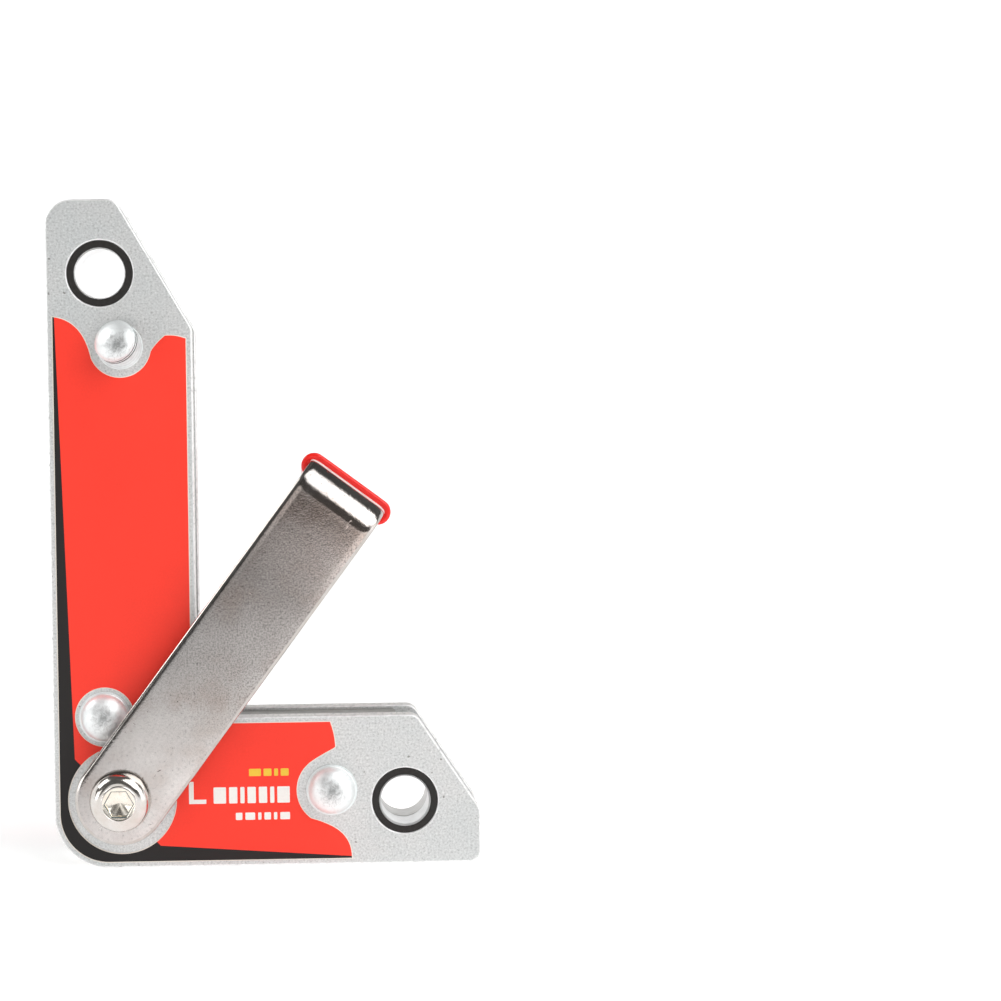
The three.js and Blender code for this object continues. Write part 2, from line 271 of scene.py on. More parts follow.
def label_outline():
    """Follows the plate at a margin, and curves clear of the outer rivets."""
    m = LABEL_MARGIN
    ux, uz = RIVETS["upper"]
    lx, lz = RIVETS["lower"]
    corner = (OUTER_CORNER, OUTER_CORNER)
    pen = Pen().arc(corner, OUTER_CORNER - m, 180, 270)
    pen.to((69.1, m))
    pen.bezier((69.1, 6.4), (66.4, 9), (lx - 4.8, lz - 6.4))
    pen.arc((lx, lz), 8, 233, 127)
    pen.bezier((lx - 2.6, lz + 8), (64.6, 26.6), (65.5, 27.3))
    pen.bezier((65.5, 29.5), (65, 31.6), (64.3, SHORT_LEG - m))
    pen.arc((28.7, 39.4), NOTCH_R + m, 270, 108)
    pen.to((LONG_LEG - m, 47), (LONG_LEG - m, 122.8))
    pen.bezier((30, 123.6), (29, 123.7), (27.2, 123.6))
    pen.bezier((25.6, 122.4), (24.4, 121), (ux + 6.9, uz - 1.2))
    pen.arc((ux, uz), 7, -10, -158)
    pen.bezier((9.2, 123.5), (6.8, 127.6), (m, 128.2))
    return pen.points


# -------------------- meshes

def to_world(x, d, z):
    return CORNER + Vector((x, d, z)) * MM


def at_depth(middle, d):
    """The point (x, d, z) of a place (x, z) on the plate."""
    return middle[0], d, middle[1]


def piece(name, bm, origin, materials):
    """An object from a mesh in millimetres, with its origin at (x, d, z) on the part."""
    bmesh.ops.remove_doubles(bm, verts=bm.verts, dist=WELD)
    bmesh.ops.recalc_face_normals(bm, faces=bm.faces)
    bmesh.ops.translate(bm, verts=bm.verts, vec=-Vector(origin))
    bmesh.ops.scale(bm, verts=bm.verts, vec=(MM, MM, MM))
    mesh = bpy.data.meshes.new(name)
    bm.to_mesh(mesh)
    bm.free()
    for material in materials:
        mesh.materials.append(material)
    mesh.shade_smooth()
    mesh.set_sharp_from_angle(angle=SHARP)
    made = bpy.data.objects.new(name, mesh)
    made.location = to_world(*origin)
    bpy.context.scene.collection.objects.link(made)
    weigh = made.modifiers.new("weighted_normals", "WEIGHTED_NORMAL")
    weigh.keep_sharp = True
    weigh.weight = 80
    return made


def stands_for(made, node):
    """The piece rides with its CAD node's body and hides that node."""
    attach(made, BODY_OF[node])
    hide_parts(node)
    return made


def fine(node, bm, origin, materials):
    """The finer piece that stands for a CAD node."""
    return stands_for(piece(f"{node}_fine", bm, origin, materials), node)


def inset(loop, distance):
    """A closed loop moved to its left by distance, mitred at its points."""
    moved = []
    for i, here in enumerate(loop):
        here = Vector(here)
        before = Vector(loop[i - 1])
        after = Vector(loop[(i + 1) % len(loop)])
        a = (here - before).normalized()
        b = (after - here).normalized()
        left = Vector((-a.y - b.y, a.x + b.x)).normalized()
        spread = max(0.4, left.dot(Vector((-a.y, a.x))))
        moved.append(tuple(here + left * (distance / spread)))
    return moved


def thinned(loop, least=0.02):
    """The loop without points that lie on top of each other."""
    kept = [loop[0]]
    for point in loop[1:]:
        if math.dist(point, kept[-1]) > least:
            kept.append(point)
    if math.dist(kept[0], kept[-1]) < least:
        kept.pop()
    return kept


def slab(outline, holes, front, rear, edge, steps=3, rims=(0, 0), hole_edge=None, ease=1):
    """A plate from depth front to rear. The outline and the holes run counterclockwise. Each rim
    is rounded over edge, (in from the rim, down from the face), and rims are the materials of
    that rounding and of the side between. The holes may have an edge of their own, and ease
    draws the rounding out towards the face."""
    bm = bmesh.new()
    caps = ([], [])
    loops = [(thinned(outline), edge)]
    loops += [(thinned(hole)[::-1], hole_edge or edge) for hole in holes]
    for loop, (wide, deep) in loops:
        rings = []
        for k in range(steps + 1):
            turn = math.pi / 2 * k / steps
            gap = wide * (1 - math.sin(turn)) ** ease
            rings.append((gap, front + deep * (1 - math.cos(turn))))
        rings += [(gap, rear - (d - front)) for gap, d in reversed(rings)]
        stack = []
        for gap, d in rings:
            stack.append([bm.verts.new((x, d, z)) for x, z in inset(loop, gap)])
        for level, (a, b) in enumerate(zip(stack, stack[1:])):
            for i in range(len(a)):
                j = (i + 1) % len(a)
                face = bm.faces.new((a[i], a[j], b[j], b[i]))
                face.material_index = rims[1] if level == steps else rims[0]
        for cap, verts in zip(caps, (stack[0], stack[-1])):
            cap += [bm.edges.get((verts[i], verts[i - 1])) for i in range(len(verts))]
    for edges in caps:
        bmesh.ops.triangle_fill(bm, edges=edges, use_beauty=True, use_dissolve=False)
    return bm


def ring_points(middle, r, d, sides=64):
    """Points round the depth axis; r is a number, or a function of the angle."""
    points = []
    for i in range(sides):
        angle = 2 * math.pi * i / sides
        reach = r(angle) if callable(r) else r
        points.append(at_depth(polar(middle, reach, angle), d))
    return points


def loft(rings, closed=False):
    """Skins a stack of rings of equally many points, and caps or closes it."""
    bm = bmesh.new()
    stack = [[bm.verts.new(p) for p in ring] for ring in rings]
    pairs = list(zip(stack, stack[1:])) + ([(stack[-1], stack[0])] if closed else [])
    for a, b in pairs:
        for i in range(len(a)):
            j = (i + 1) % len(a)
            bm.faces.new((a[i], a[j], b[j], b[i]))
    if not closed:
        for ring in (stack[0], stack[-1]):
            hub = bm.verts.new(sum((v.co for v in ring), Vector()) / len(ring))
            for i in range(len(ring)):
                bm.faces.new((ring[i], ring[(i + 1) % len(ring)], hub))
    return bm


def lathe(middle, profile, closed=False, sides=72):
    """A turned body about the depth axis, from (r, d) points."""
    return loft([ring_points(middle, r, d, sides) for r, d in profile], closed)


def merge(*parts):
    """Several bmeshes as one."""
    total = bmesh.new()
    for part in parts:
        scratch = bpy.data.meshes.new("scratch")
        part.to_mesh(scratch)
        part.free()
        total.from_mesh(scratch)
        bpy.data.meshes.remove(scratch)
    return total


def tube(middle, inner, outer, front, rear, edge=0.15, sides=72):
    """A ring with rounded rims."""
    profile = rounded(
        [(inner, front, edge), (outer, front, edge), (outer, rear, edge), (inner, rear, edge)], 30
    )
    return lathe(middle, profile, closed=True, sides=sides)


def cut(bm, place, normal):
    """Splits the faces along a plane, and keeps both sides."""
    geometry = bm.verts[:] + bm.edges[:] + bm.faces[:]
    bmesh.ops.bisect_plane(bm, geom=geometry, dist=1e-5, plane_co=place, plane_no=normal)


# -------------------- materials

class Look:
    """A Principled material, with helpers that add procedural detail to it."""

    def __init__(self, name, color, roughness, metallic=0.0, **sockets):
        self.material = bpy.data.materials.new(name)
        self.material.use_nodes = True
        self.nodes = self.material.node_tree.nodes
        self.links = self.material.node_tree.links
        self.shader = self.nodes["Principled BSDF"]
        self.shader.inputs["Base Color"].default_value = (*color, 1)
        self.shader.inputs["Roughness"].default_value = roughness
        self.shader.inputs["Metallic"].default_value = metallic
        for socket, value in sockets.items():
            self.shader.inputs[socket.replace("_", " ")].default_value = value
        self.coords = self.nodes.new("ShaderNodeTexCoord").outputs["Object"]
        self.height = None

    def stretched(self, scale):
        """The piece's own coordinates, scaled along each axis."""
        mapping = self.nodes.new("ShaderNodeMapping")
        mapping.inputs["Scale"].default_value = scale
        self.links.new(self.coords, mapping.inputs["Vector"])
        return mapping.outputs["Vector"]

    def along(self, direction):
        """How far each point lies along a direction, from the piece's own origin, in metres."""
        node = self.nodes.new("ShaderNodeVectorMath")
        node.operation = "DOT_PRODUCT"
        node.inputs[1].default_value = direction
        self.links.new(self.coords, node.inputs[0])
        return node.outputs["Value"]

    def noise(self, per_mm, detail=4.0, rough=0.55, stretch=(1, 1, 1), distortion=0.0):
        """Noise with about per_mm features to the millimetre."""
        texture = self.nodes.new("ShaderNodeTexNoise")
        texture.inputs["Scale"].default_value = per_mm / MM
        texture.inputs["Detail"].default_value = detail
        texture.inputs["Roughness"].default_value = rough
        texture.inputs["Distortion"].default_value = distortion
        self.links.new(self.stretched(stretch), texture.inputs["Vector"])
        return texture.outputs["Fac"]

    def ramp(self, source, stops):
        """Maps a value to colours, from (position, colour) stops; a number is a grey."""
        ramp = self.nodes.new("ShaderNodeValToRGB")
        elements = ramp.color_ramp.elements
        while len(elements) < len(stops):
            elements.new(0.5)
        for element, (position, color) in zip(elements, stops):
            element.position = position
            shade = color if isinstance(color, tuple) else grey(color)
            element.color = (*shade, 1)
        self.links.new(source, ramp.inputs["Fac"])
        return ramp.outputs["Color"]

    def span(self, source, low, high, to_low, to_high):
        """Maps a value's range to another."""
        remap = self.nodes.new("ShaderNodeMapRange")
        names = ("From Min", "From Max", "To Min", "To Max")
        for name, value in zip(names, (low, high, to_low, to_high)):
            remap.inputs[name].default_value = value
        self.links.new(source, remap.inputs["Value"])
        return remap.outputs["Result"]

    def math(self, operation, a, b):
        """Joins two values; each is an output or a number."""
        node = self.nodes.new("ShaderNodeMath")
        node.operation = operation
        for socket, value in zip(node.inputs, (a, b)):
            if isinstance(value, (int, float)):
                socket.default_value = value
            else:
                self.links.new(value, socket)
        return node.outputs["Value"]

    def mix(self, factor, a, b, blend="MIX"):
        """Mixes two colours; each is an output or (r, g, b)."""
        node = self.nodes.new("ShaderNodeMix")
        node.data_type = "RGBA"
        node.blend_type = blend
        sockets = (node.inputs["Factor"], node.inputs[MIX_A], node.inputs[MIX_B])
        for socket, value in zip(sockets, (factor, a, b)):
            if isinstance(value, tuple):
                socket.default_value = (*value, 1)
            elif isinstance(value, (int, float)):
                socket.default_value = value
            else:
                self.links.new(value, socket)
        return node.outputs[MIX_RESULT]

    def tint(self, color, shade, share=1.0):
        """Darkens a colour by another."""
        return self.mix(share, color, shade, "MULTIPLY")

    def color(self, source):
        self.links.new(source, self.shader.inputs["Base Color"])

    def rough(self, source, low, high):
        """Roughness from low to high over the range that noise has most of the time."""
        spread = self.span(source, 0.3, 0.7, low, high)
        self.links.new(spread, self.shader.inputs["Roughness"])

    def bump(self, source, depth_mm):
        """Adds relief of a real depth; several calls stack."""
        node = self.nodes.new("ShaderNodeBump")
        node.inputs["Strength"].default_value = 1.0
        node.inputs["Distance"].default_value = depth_mm * MM
        self.links.new(source, node.inputs["Height"])
        if self.height:
            self.links.new(self.height, node.inputs["Normal"])
        self.height = node.outputs["Normal"]
        self.links.new(self.height, self.shader.inputs["Normal"])


def grey(value):
    return value, value, value


def zinc_face():
    """Satin zinc plate: fine spangle, cloudy stains, hairline scratches and a few dark specks."""
    look = Look("zinc_plate", grey(0.62), 0.42, metallic=0.5)
    grain = look.noise(2.0, detail=6, rough=0.72)
    base = look.ramp(grain, [(0.32, 0.34), (0.44, 0.60), (0.56, 0.70), (0.68, 0.86)])
    stain = look.noise(0.05, detail=3)
    clouds = look.ramp(stain, [(0.35, (0.92, 0.945, 0.94)), (0.65, (1.0, 1.0, 0.99))])
    shade = look.tint(base, clouds)
    hairline = look.noise(1.6, detail=3, stretch=(0.03, 1, 1))
    scratches = look.ramp(hairline, [(0.30, 0.86), (0.36, 1.0)])
    shade = look.tint(shade, scratches, 0.7)
    fleck = look.noise(0.55, detail=1.0)
    specks = look.ramp(fleck, [(0.235, (0.45, 0.44, 0.42)), (0.26, 1.0)])
    look.color(look.tint(shade, specks))
    look.rough(look.noise(0.5, detail=6), 0.34, 0.52)
    look.bump(grain, 0.014)
    look.bump(scratches, 0.008)
    return look.material


def zinc_rim_highlight():
    """The plate's broken edges, painted brighter than its faces as a highlight line, with patchy
    rubbed wear.
    """
    look = Look("zinc_rim_highlight", grey(0.82), 0.32, metallic=0.35)
    wear = look.noise(0.7, detail=5)
    look.color(look.ramp(wear, [(0.3, 0.66), (0.5, 0.85), (0.7, 0.93)]))
    look.rough(wear, 0.26, 0.42)
    look.bump(wear, 0.02)
    return look.material


def zinc_edge():
    """The cut edge of the plates, with fine streaks across the thickness."""
    look = Look("zinc_cut_edge", grey(0.6), 0.4, metallic=0.5)
    streaks = look.noise(1.3, detail=5, rough=0.65, stretch=(1, 0.2, 1))
    look.color(look.ramp(streaks, [(0.34, 0.50), (0.5, (0.72, 0.71, 0.68)), (0.7, 0.78)]))
    look.rough(streaks, 0.34, 0.55)
    look.bump(streaks, 0.03)
    return look.material


def vinyl(name, color, shine):
    """Printed vinyl: a faint calendered grain and hand marks in the gloss."""
    look = Look(name, color, shine, Specular_IOR_Level=0.28)
    grain = look.noise(2.2, detail=3)
    cloud = look.noise(0.05, detail=4)
    shade = look.ramp(cloud, [(0.3, 0.93), (0.7, 1.0)])
    speck = look.ramp(grain, [(0.3, 0.95), (0.7, 1.0)])
    look.color(look.tint(look.tint(color, shade), speck))
    look.rough(cloud, shine - 0.05, shine + 0.08)
    look.bump(grain, 0.006)
    look.bump(look.noise(0.12, detail=3), 0.03)
    return look.material


def lever_places(look):
    """How far a point lies up the lever, in tenths of a metre, and across it from 0 to 1."""
    up = (math.cos(LEVER_REST), 0, math.sin(LEVER_REST))
    across = (-math.sin(LEVER_REST), 0, math.cos(LEVER_REST))
    half = LEVER_WIDTH / 2 * MM
    reach = look.span(look.along(up), 0, 0.1, 0, 1)
    return reach, look.span(look.along(across), -half, half, 0, 1)


# Colour stops of the lever: its patches, and a painted reflection that darkens it up the strip,
# lightens it just before the bend and darkens it towards its upper-left edge.
NICKEL_PATCHES = [
    (0.32, (0.56, 0.495, 0.46)),
    (0.5, (0.64, 0.605, 0.585)),
    (0.68, (0.725, 0.695, 0.675)),
]
NICKEL_REFLECTION_UP = [
    (0.12, 1.0),
    (0.32, 0.79),
    (0.6, (0.63, 0.61, 0.6)),
    (0.76, (1.0, 0.93, 0.9)),
    (0.815, (1.0, 0.92, 0.88)),
    (0.845, 0.85),
]
NICKEL_REFLECTION_ACROSS = [(0, 1), (0.12, 0.96), (0.3, 0.86), (0.5, 0.82), (0.8, 0.72), (1, 0.6)]


def nickel_strip():
    """Nickel over rough-rolled strip: orange peel, dull patches and a few nicks, under a painted
    reflection that shades it up and across the strip.
    """
    look = Look("nickel_strip", (0.48, 0.455, 0.44), 0.14, metallic=1.0)
    peel = look.noise(2.7, detail=3, rough=0.6)
    pebble = look.noise(1.3, detail=4, rough=0.62)
    patches = look.noise(0.07, detail=5)
    tone = look.ramp(patches, NICKEL_PATCHES)
    pits = look.ramp(pebble, [(0.3, 0.6), (0.4, 0.93), (0.6, 1.0)])
    reach, side = lever_places(look)
    # Painted reflection: darker up the strip, lighter just before the bend, darker towards the
    # upper-left edge.
    tone = look.tint(tone, look.ramp(reach, NICKEL_REFLECTION_UP))
    tone = look.tint(tone, look.ramp(side, NICKEL_REFLECTION_ACROSS))
    tone = look.tint(tone, pits)
    speckle = look.ramp(peel, [(0.37, 0.52), (0.5, 0.88), (0.6, 1.0)])
    grainy = look.ramp(reach, [(0.14, 0.1), (0.38, 0.9), (0.8, 0.9), (0.84, 0.1)])
    look.color(look.tint(tone, look.mix(grainy, grey(1.0), speckle)))
    look.rough(patches, 0.11, 0.17)
    look.bump(look.noise(0.35, detail=2), 0.01)
    coarse = look.ramp(reach, [(0.1, 1), (0.5, 0.7), (0.7, 0.25), (0.81, 0.25), (0.84, 0.9)])
    look.bump(look.math("MULTIPLY", pebble, coarse), 0.04)
    look.bump(peel, 0.008)
    nicks = look.noise(0.3, detail=1, distortion=1.5)
    look.bump(look.ramp(nicks, [(0.235, 0), (0.26, 1)]), 0.12)
    return look.material


def nickel(name, color, shine):
    """Nickel plate on the screw and the lever's edges, with a thin uneven film."""
    look = Look(name, color, shine, metallic=1.0)
    film = look.noise(0.35, detail=5, rough=0.6)
    shade = look.ramp(film, [(0.3, (0.86, 0.83, 0.79)), (0.7, 1.0)])
    look.color(look.tint(color, shade))
    look.rough(film, shine - 0.04, shine + 0.07)
    look.bump(look.noise(1.2, detail=4), 0.008)
    return look.material


def dipped_coat():
    """Thick glossy dip with long soft ripples where it ran."""
    gloss = {"Coat_Weight": 0.1, "Coat_Roughness": 0.08, "Specular_IOR_Level": 0.3}
    look = Look("dipped_coat", (0.86, 0.02, 0.014), 0.2, **gloss)
    ripple = look.noise(0.16, detail=2)
    look.color(look.ramp(ripple, [(0.3, (0.78, 0.016, 0.012)), (0.7, (0.86, 0.026, 0.018))]))
    look.rough(look.noise(0.8, detail=3), 0.12, 0.22)
    look.bump(ripple, 0.12)
    return look.material


def turned_metal(name, color, roughness, ridge_mm, depth, metallic=1.0):
    """Machined metal whose tool marks run round the piece's own depth axis."""
    look = Look(name, color, roughness, metallic=metallic)
    rings = look.nodes.new("ShaderNodeTexWave")
    rings.wave_type = "RINGS"
    rings.rings_direction = "Y"
    rings.inputs["Scale"].default_value = WAVE_SPACING / (ridge_mm * MM)
    rings.inputs["Distortion"].default_value = 2.5
    rings.inputs["Detail"].default_value = 3.0
    rings.inputs["Detail Scale"].default_value = 0.4
    look.links.new(look.coords, rings.inputs["Vector"])
    marks = rings.outputs["Fac"]
    blotch = look.noise(0.5, detail=5, rough=0.65)
    shade = look.ramp(blotch, [(0.3, 0.84), (0.6, 1.0)])
    lines = look.ramp(marks, [(0.1, 0.86), (0.5, 1.0)])
    look.color(look.tint(look.tint(color, shade), lines, 0.8))
    look.rough(blotch, roughness - 0.06, roughness + 0.08)
    look.bump(marks, depth)
    look.bump(blotch, depth)
    return look.material


def rivet_alloy():
    """Soft aluminium, snapped over in one turn: near white, with a dull swirl round the middle."""
    look = Look("rivet_alloy", grey(0.9), 0.36, metallic=0.5)
    swirl = look.noise(0.5, detail=6, rough=0.7, stretch=(1, 0, 1), distortion=2.5)
    from_axis = look.nodes.new("ShaderNodeVectorMath")
    from_axis.operation = "LENGTH"
    look.links.new(look.stretched((1, 0, 1)), from_axis.inputs[0])
    reach = look.span(from_axis.outputs["Value"], 0.6 * MM, 4.2 * MM, 0.0, 0.6)
    stops = [
        (0.2, (0.38, 0.39, 0.39)),
        (0.5, (0.70, 0.715, 0.715)),
        (0.7, (0.85, 0.875, 0.875)),
        (0.95, (0.845, 0.875, 0.875)),
    ]
    dull = look.ramp(look.math("ADD", reach, look.span(swirl, 0.3, 0.7, 0.0, 0.5)), stops)
    look.color(look.tint(dull, look.ramp(swirl, [(0.35, 0.9), (0.5, 1.0)])))
    look.rough(swirl, 0.3, 0.46)
    look.bump(swirl, 0.09)
    look.bump(look.noise(2.4, detail=4), 0.012)
    return look.material


def black_moulding():
    """Matt black plastic of the hole rings and bushes."""
    look = Look("black_moulding", grey(0.02), 0.45, Specular_IOR_Level=0.3)
    grain = look.noise(1.4, detail=6, rough=0.7)
    look.color(look.ramp(grain, [(0.35, (0.012, 0.011, 0.010)), (0.65, (0.026, 0.023, 0.021))]))
    look.rough(grain, 0.38, 0.58)
    look.bump(grain, 0.02)
    return look.material


def drawn_bar():
    """Mill-finish bar: greyer than the plates and streaked, its darkest streaks and spots painted
    shadow of the gap between the plates.
    """
    look = Look("drawn_bar", grey(0.4), 0.45, metallic=0.6)
    streaks = look.noise(1.0, detail=7, rough=0.7, stretch=(0.35, 1, 0.35))
    # The darkest stop paints the shadow spots.
    stops = [(0.33, (0.13, 0.135, 0.13)), (0.5, (0.33, 0.33, 0.31)), (0.7, (0.46, 0.45, 0.43))]
    look.color(look.ramp(streaks, stops))
    look.rough(streaks, 0.38, 0.58)
    look.bump(streaks, 0.04)
    return look.material


def ferrite():
    """Dark sintered magnet."""
    look = Look("ferrite", grey(0.05), 0.62, metallic=0.2)
    grain = look.noise(0.9, detail=8, rough=0.75)
    look.color(look.ramp(grain, [(0.3, 0.028), (0.7, 0.075)]))
    look.rough(grain, 0.5, 0.75)
    look.bump(grain, 0.04)
    return look.material


ZINC = zinc_face()
# Painted highlight: the roundings of the plates' rims are painted brighter than the faces.
ZINC_RIM_HIGHLIGHT = zinc_rim_highlight()
ZINC_EDGE = zinc_edge()
RED_VINYL = vinyl("red_vinyl", (0.96, 0.046, 0.025), 0.42)
BLACK_VINYL = vinyl("black_vinyl", (0.0145, 0.012, 0.0115), 0.38)
# Painted highlight: a pale colour on the label's rounded edge and side, for the thin light line along
# its border.
VINYL_RIM_HIGHLIGHT = vinyl("vinyl_rim_highlight", (0.86, 0.80, 0.72), 0.45)
WHITE_PRINT = vinyl("white_print", (0.88, 0.86, 0.82), 0.45)
YELLOW_PRINT = vinyl("yellow_print", (0.86, 0.55, 0.05), 0.45)
NICKEL = nickel_strip()
# Painted highlight: the lever's rounded edges get a lighter copy of the nickel than its flat.
NICKEL_EDGE_HIGHLIGHT = nickel("nickel_edge_highlight", (0.56, 0.535, 0.52), 0.13)
# Painted highlight: a pale, rough band on the outside of the bend, for the light line where the strip
# meets the grip.
NICKEL_BEND_HIGHLIGHT = turned_metal("nickel_bend_highlight", (0.93, 0.92, 0.90), 0.5, 0.4, 0.004, metallic=0.2)
SCREW = nickel("nickel_screw", (0.70, 0.675, 0.65), 0.15)
# Painted highlight: the socket's chamfer and walls get a lighter, creamier copy of the screw's nickel.
SOCKET_HIGHLIGHT = nickel("nickel_socket_highlight", (0.90, 0.86, 0.78), 0.22)
COAT = dipped_coat()
RIVET_ALLOY = rivet_alloy()
WASHER_ALLOY = turned_metal("washer_alloy", (0.84, 0.88, 0.88), 0.42, 0.5, 0.002, metallic=0.3)
BAND_ALLOY = turned_metal("band_alloy", (0.76, 0.82, 0.825), 0.5, 0.5, 0.002, metallic=0.1)
# Painted shade: a dark, dull material for the rivet band's grooves and a thin line round the screw's
# socket.
PAINTED_GROOVE_SHADE = turned_metal("painted_groove_shade", (0.10, 0.13, 0.13), 0.7, 0.5, 0.004, metallic=0.0)
SLEEVE_ALLOY = turned_metal("sleeve_alloy", (0.84, 0.85, 0.85), 0.34, 0.3, 0.006, metallic=0.7)
# Painted light and shade in the big holes: the upper hole's sleeves are painted near white, and
# elsewhere the rear half darker than the front half.
SLEEVE_PAINTED_LIGHT = turned_metal("sleeve_painted_light", (0.99, 0.99, 0.99), 0.2, 0.3, 0.002, metallic=0.9)
SLEEVE_PAINTED_SHADE = turned_metal("sleeve_painted_shade", (0.58, 0.575, 0.56), 0.36, 0.5, 0.02)
TURNED_STEEL = turned_metal("turned_steel", (0.62, 0.60, 0.565), 0.26, 0.4, 0.006)
BLACK = black_moulding()
BAR = drawn_bar()
FERRITE = ferrite()


# -------------------- the fixed body

def build_plates():
    """Two plates, each with two big holes, three rivet holes and a pivot hole."""
    at_pivot = {"front_plate": radius("front_bush") + 0.1, "rear_plate": radius("rear_bush") + 0.05}
    at_rivet = {"front_plate": RIVET_BORE, "rear_plate": 3.15}
    for node in ("front_plate", "rear_plate"):
        low, high = extent(node)
        holes = [circle(at, RING_SEAT) for at in HOLES.values()]
        holes += [circle(at, at_rivet[node], 48) for at in RIVETS.values()]
        holes.append(circle(PIVOT, at_pivot[node]))
        # The rims' rounding takes the painted highlight material, their side the cut edge material.
        bm = slab(elbow(), holes, low[1], high[1], PLATE_EDGE, rims=(1, 2))
        fine(node, bm, (0, low[1], 0), [ZINC, ZINC_RIM_HIGHLIGHT, ZINC_EDGE])


# The black corner of the label lies outside these three lines, each a point and a direction.
WEDGE_LINES = [
    ((1.8, 128), (3.1, -102.5)),
    ((4.9, 25.5), (19.6, -20.5)),
    ((24.5, 5), (45, -3.2)),
]


def is_black(x, z):
    """Whether a point of the label lies in the black corner wedge."""
    return any(dx * (z - pz) - dz * (x - px) < 0 for (px, pz), (dx, dz) in WEDGE_LINES)


def split_wedge(bm):
    """Cuts the label's faces along the wedge's lines, and gives the black ones material 1."""
    for (px, pz), (dx, dz) in WEDGE_LINES:
        cut(bm, (px, 0, pz), (-dz, 0, dx))
    for face in bm.faces:
        if face.material_index == 0:
            middle = face.calc_center_median()
            face.material_index = int(is_black(middle.x, middle.z))


def build_labels():
    """The labels are open round the pivot and the corner rivet."""
    front_holes = [circle(LABEL_EYE, LABEL_EYE_R), circle(RIVETS["corner"], 6.7)]
    rear_holes = [circle(PIVOT, 5.3), circle(RIVETS["corner"], 5.65)]
    build_label("front_label", front_holes, -LABEL_THICK)
    build_label("rear_label", rear_holes, BODY)


def build_label(node, holes, front):
    """Red vinyl with a black corner, and its print on the outer face."""
    # The label's rim faces take material 2, the painted highlight.
    bm = slab(label_outline(), holes, front, front + LABEL_THICK, LABEL_EDGE, 2, rims=(2, 2))
    split_wedge(bm)
    fine(node, bm, (0, front, 0), [RED_VINYL, BLACK_VINYL, VINYL_RIM_HIGHLIGHT])
    if front < 0:
        build_print(node, front - 0.6 * PRINT_THICK)
    else:
        build_print(node, front + LABEL_THICK - 0.4 * PRINT_THICK)


def blocks(x0, x1, z0, z1, widths, gap):
    """A row of plain blocks from x0 to x1, of those relative widths."""
    unit = (x1 - x0 - gap * (len(widths) - 1)) / sum(widths)
    row = []
    r = 0.2
    for width in widths:
        right = x0 + width * unit
        row.append(rounded([(x0, z0, r), (right, z0, r), (right, z1, r), (x0, z1, r)], 30))
        x0 = right + gap
    return row


def build_print(node, front):
    """A set-square sign and rows of plain blocks, where a maker would print words."""
    sign = Pen((31.2, 14.6), (35.2, 14.6), (35.2, 15.6), (32.3, 15.6), (32.3, 19.8), (31.2, 19.8))
    white = [sign.points]
    white += blocks(36.9, 54.6, 14.6, 18.4, (3, 2, 1, 2, 2, 1, 3), 0.7)
    white += blocks(42, 54.6, 10.7, 12.4, (2, 3, 1, 2, 1, 3), 0.7)
    yellow = blocks(45.2, 54.4, 20.9, 22.6, (3, 2, 1, 2), 0.6)
    rear = front > 0
    for colour, material, shapes in (("white", WHITE_PRINT, white), ("yellow", YELLOW_PRINT, yellow)):
        if rear:
            shapes = [[(PRINT_MIRROR - x, z) for x, z in reversed(shape)] for shape in shapes]
        parts = [slab(shape, [], front, front + PRINT_THICK, (0.01, 0.01), 1) for shape in shapes]
        made = piece(f"{node}_{colour}_print", merge(*parts), (0, front, 0), [material])
        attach(made, BODY_OF[node])


def build_hole_linings():
    """A black ring and half a sleeve in each plate, at each big hole."""
    for where, middle in HOLES.items():
        for end in ("front", "rear"):
            node = f"{where}_ring_{end}"
            low, high = extent(node)
            sleeve = f"{where}_sleeve_{end}"
            outer = radius(sleeve)
            bm = tube(middle, outer + 0.04, RING_SEAT - 0.04, low[1], high[1], 0.12, 96)
            fine(node, bm, at_depth(middle, low[1]), [BLACK])
            build_sleeve(sleeve, middle, outer)


def build_sleeve(node, middle, outer):
    """A thin half tube whose lip flares out to the plate's face."""
    low, high = extent(node)
    lip, seam = (low[1], high[1]) if node.endswith("front") else (high[1], low[1])
    way = 1 if seam > lip else -1
    profile = [
        (outer - 0.12, lip),
        (outer, lip + way * 0.1),
        (outer, seam - way * 0.15),
        (outer - 0.15, seam),
        (outer - 0.3, seam),
        (outer - 0.45, seam - way * 0.25),
        (outer - 0.45, lip + way * 0.9),
        (outer - 0.38, lip + way * 0.4),
    ]
    bm = lathe(middle, profile, closed=True, sides=96)
    # Painted shade on the rear half, painted light on both halves in the upper hole.
    material = SLEEVE_ALLOY if node.endswith("front") else SLEEVE_PAINTED_SHADE
    if node.startswith("upper"):
        material = SLEEVE_PAINTED_LIGHT
    fine(node, bm, at_depth(middle, lip), [material])


# The grooves in a tall rivet band, as (depth, distance from the band's rim).
BAND_GROOVES = (
    (0, 0.95),
    (0.25, 1.0),
    (0.25, 1.2),
    (0, 1.25),
    (0, 1.65),
    (0.25, 1.7),
    (0.25, 1.95),
    (0, 2.0),
)


def rivet_head(middle, base, high, reach, band):
    """A turned dome with a small pip, over a straight band, which is grooved where it is tall."""
    rim = base - band
    rise = high - band
    profile = [(0.3, rim - rise - 0.1), (0.55, rim - rise + 0.03)]
    for i in range(2, 17):
        turn = math.pi / 2 * i / 16
        d = rim - 0.1 - (rise - 0.1) * math.cos(turn) ** 1.15
        profile.append(((reach - 0.15) * math.sin(turn), d))
    profile += [(reach, rim)]
    if band > 1:
        profile += [(reach - depth, rim + down) for depth, down in BAND_GROOVES]
    profile += [(reach, base - 0.12), (reach - 0.12, base), (RIVET_SHANK, base)]
    return lathe(middle, profile)


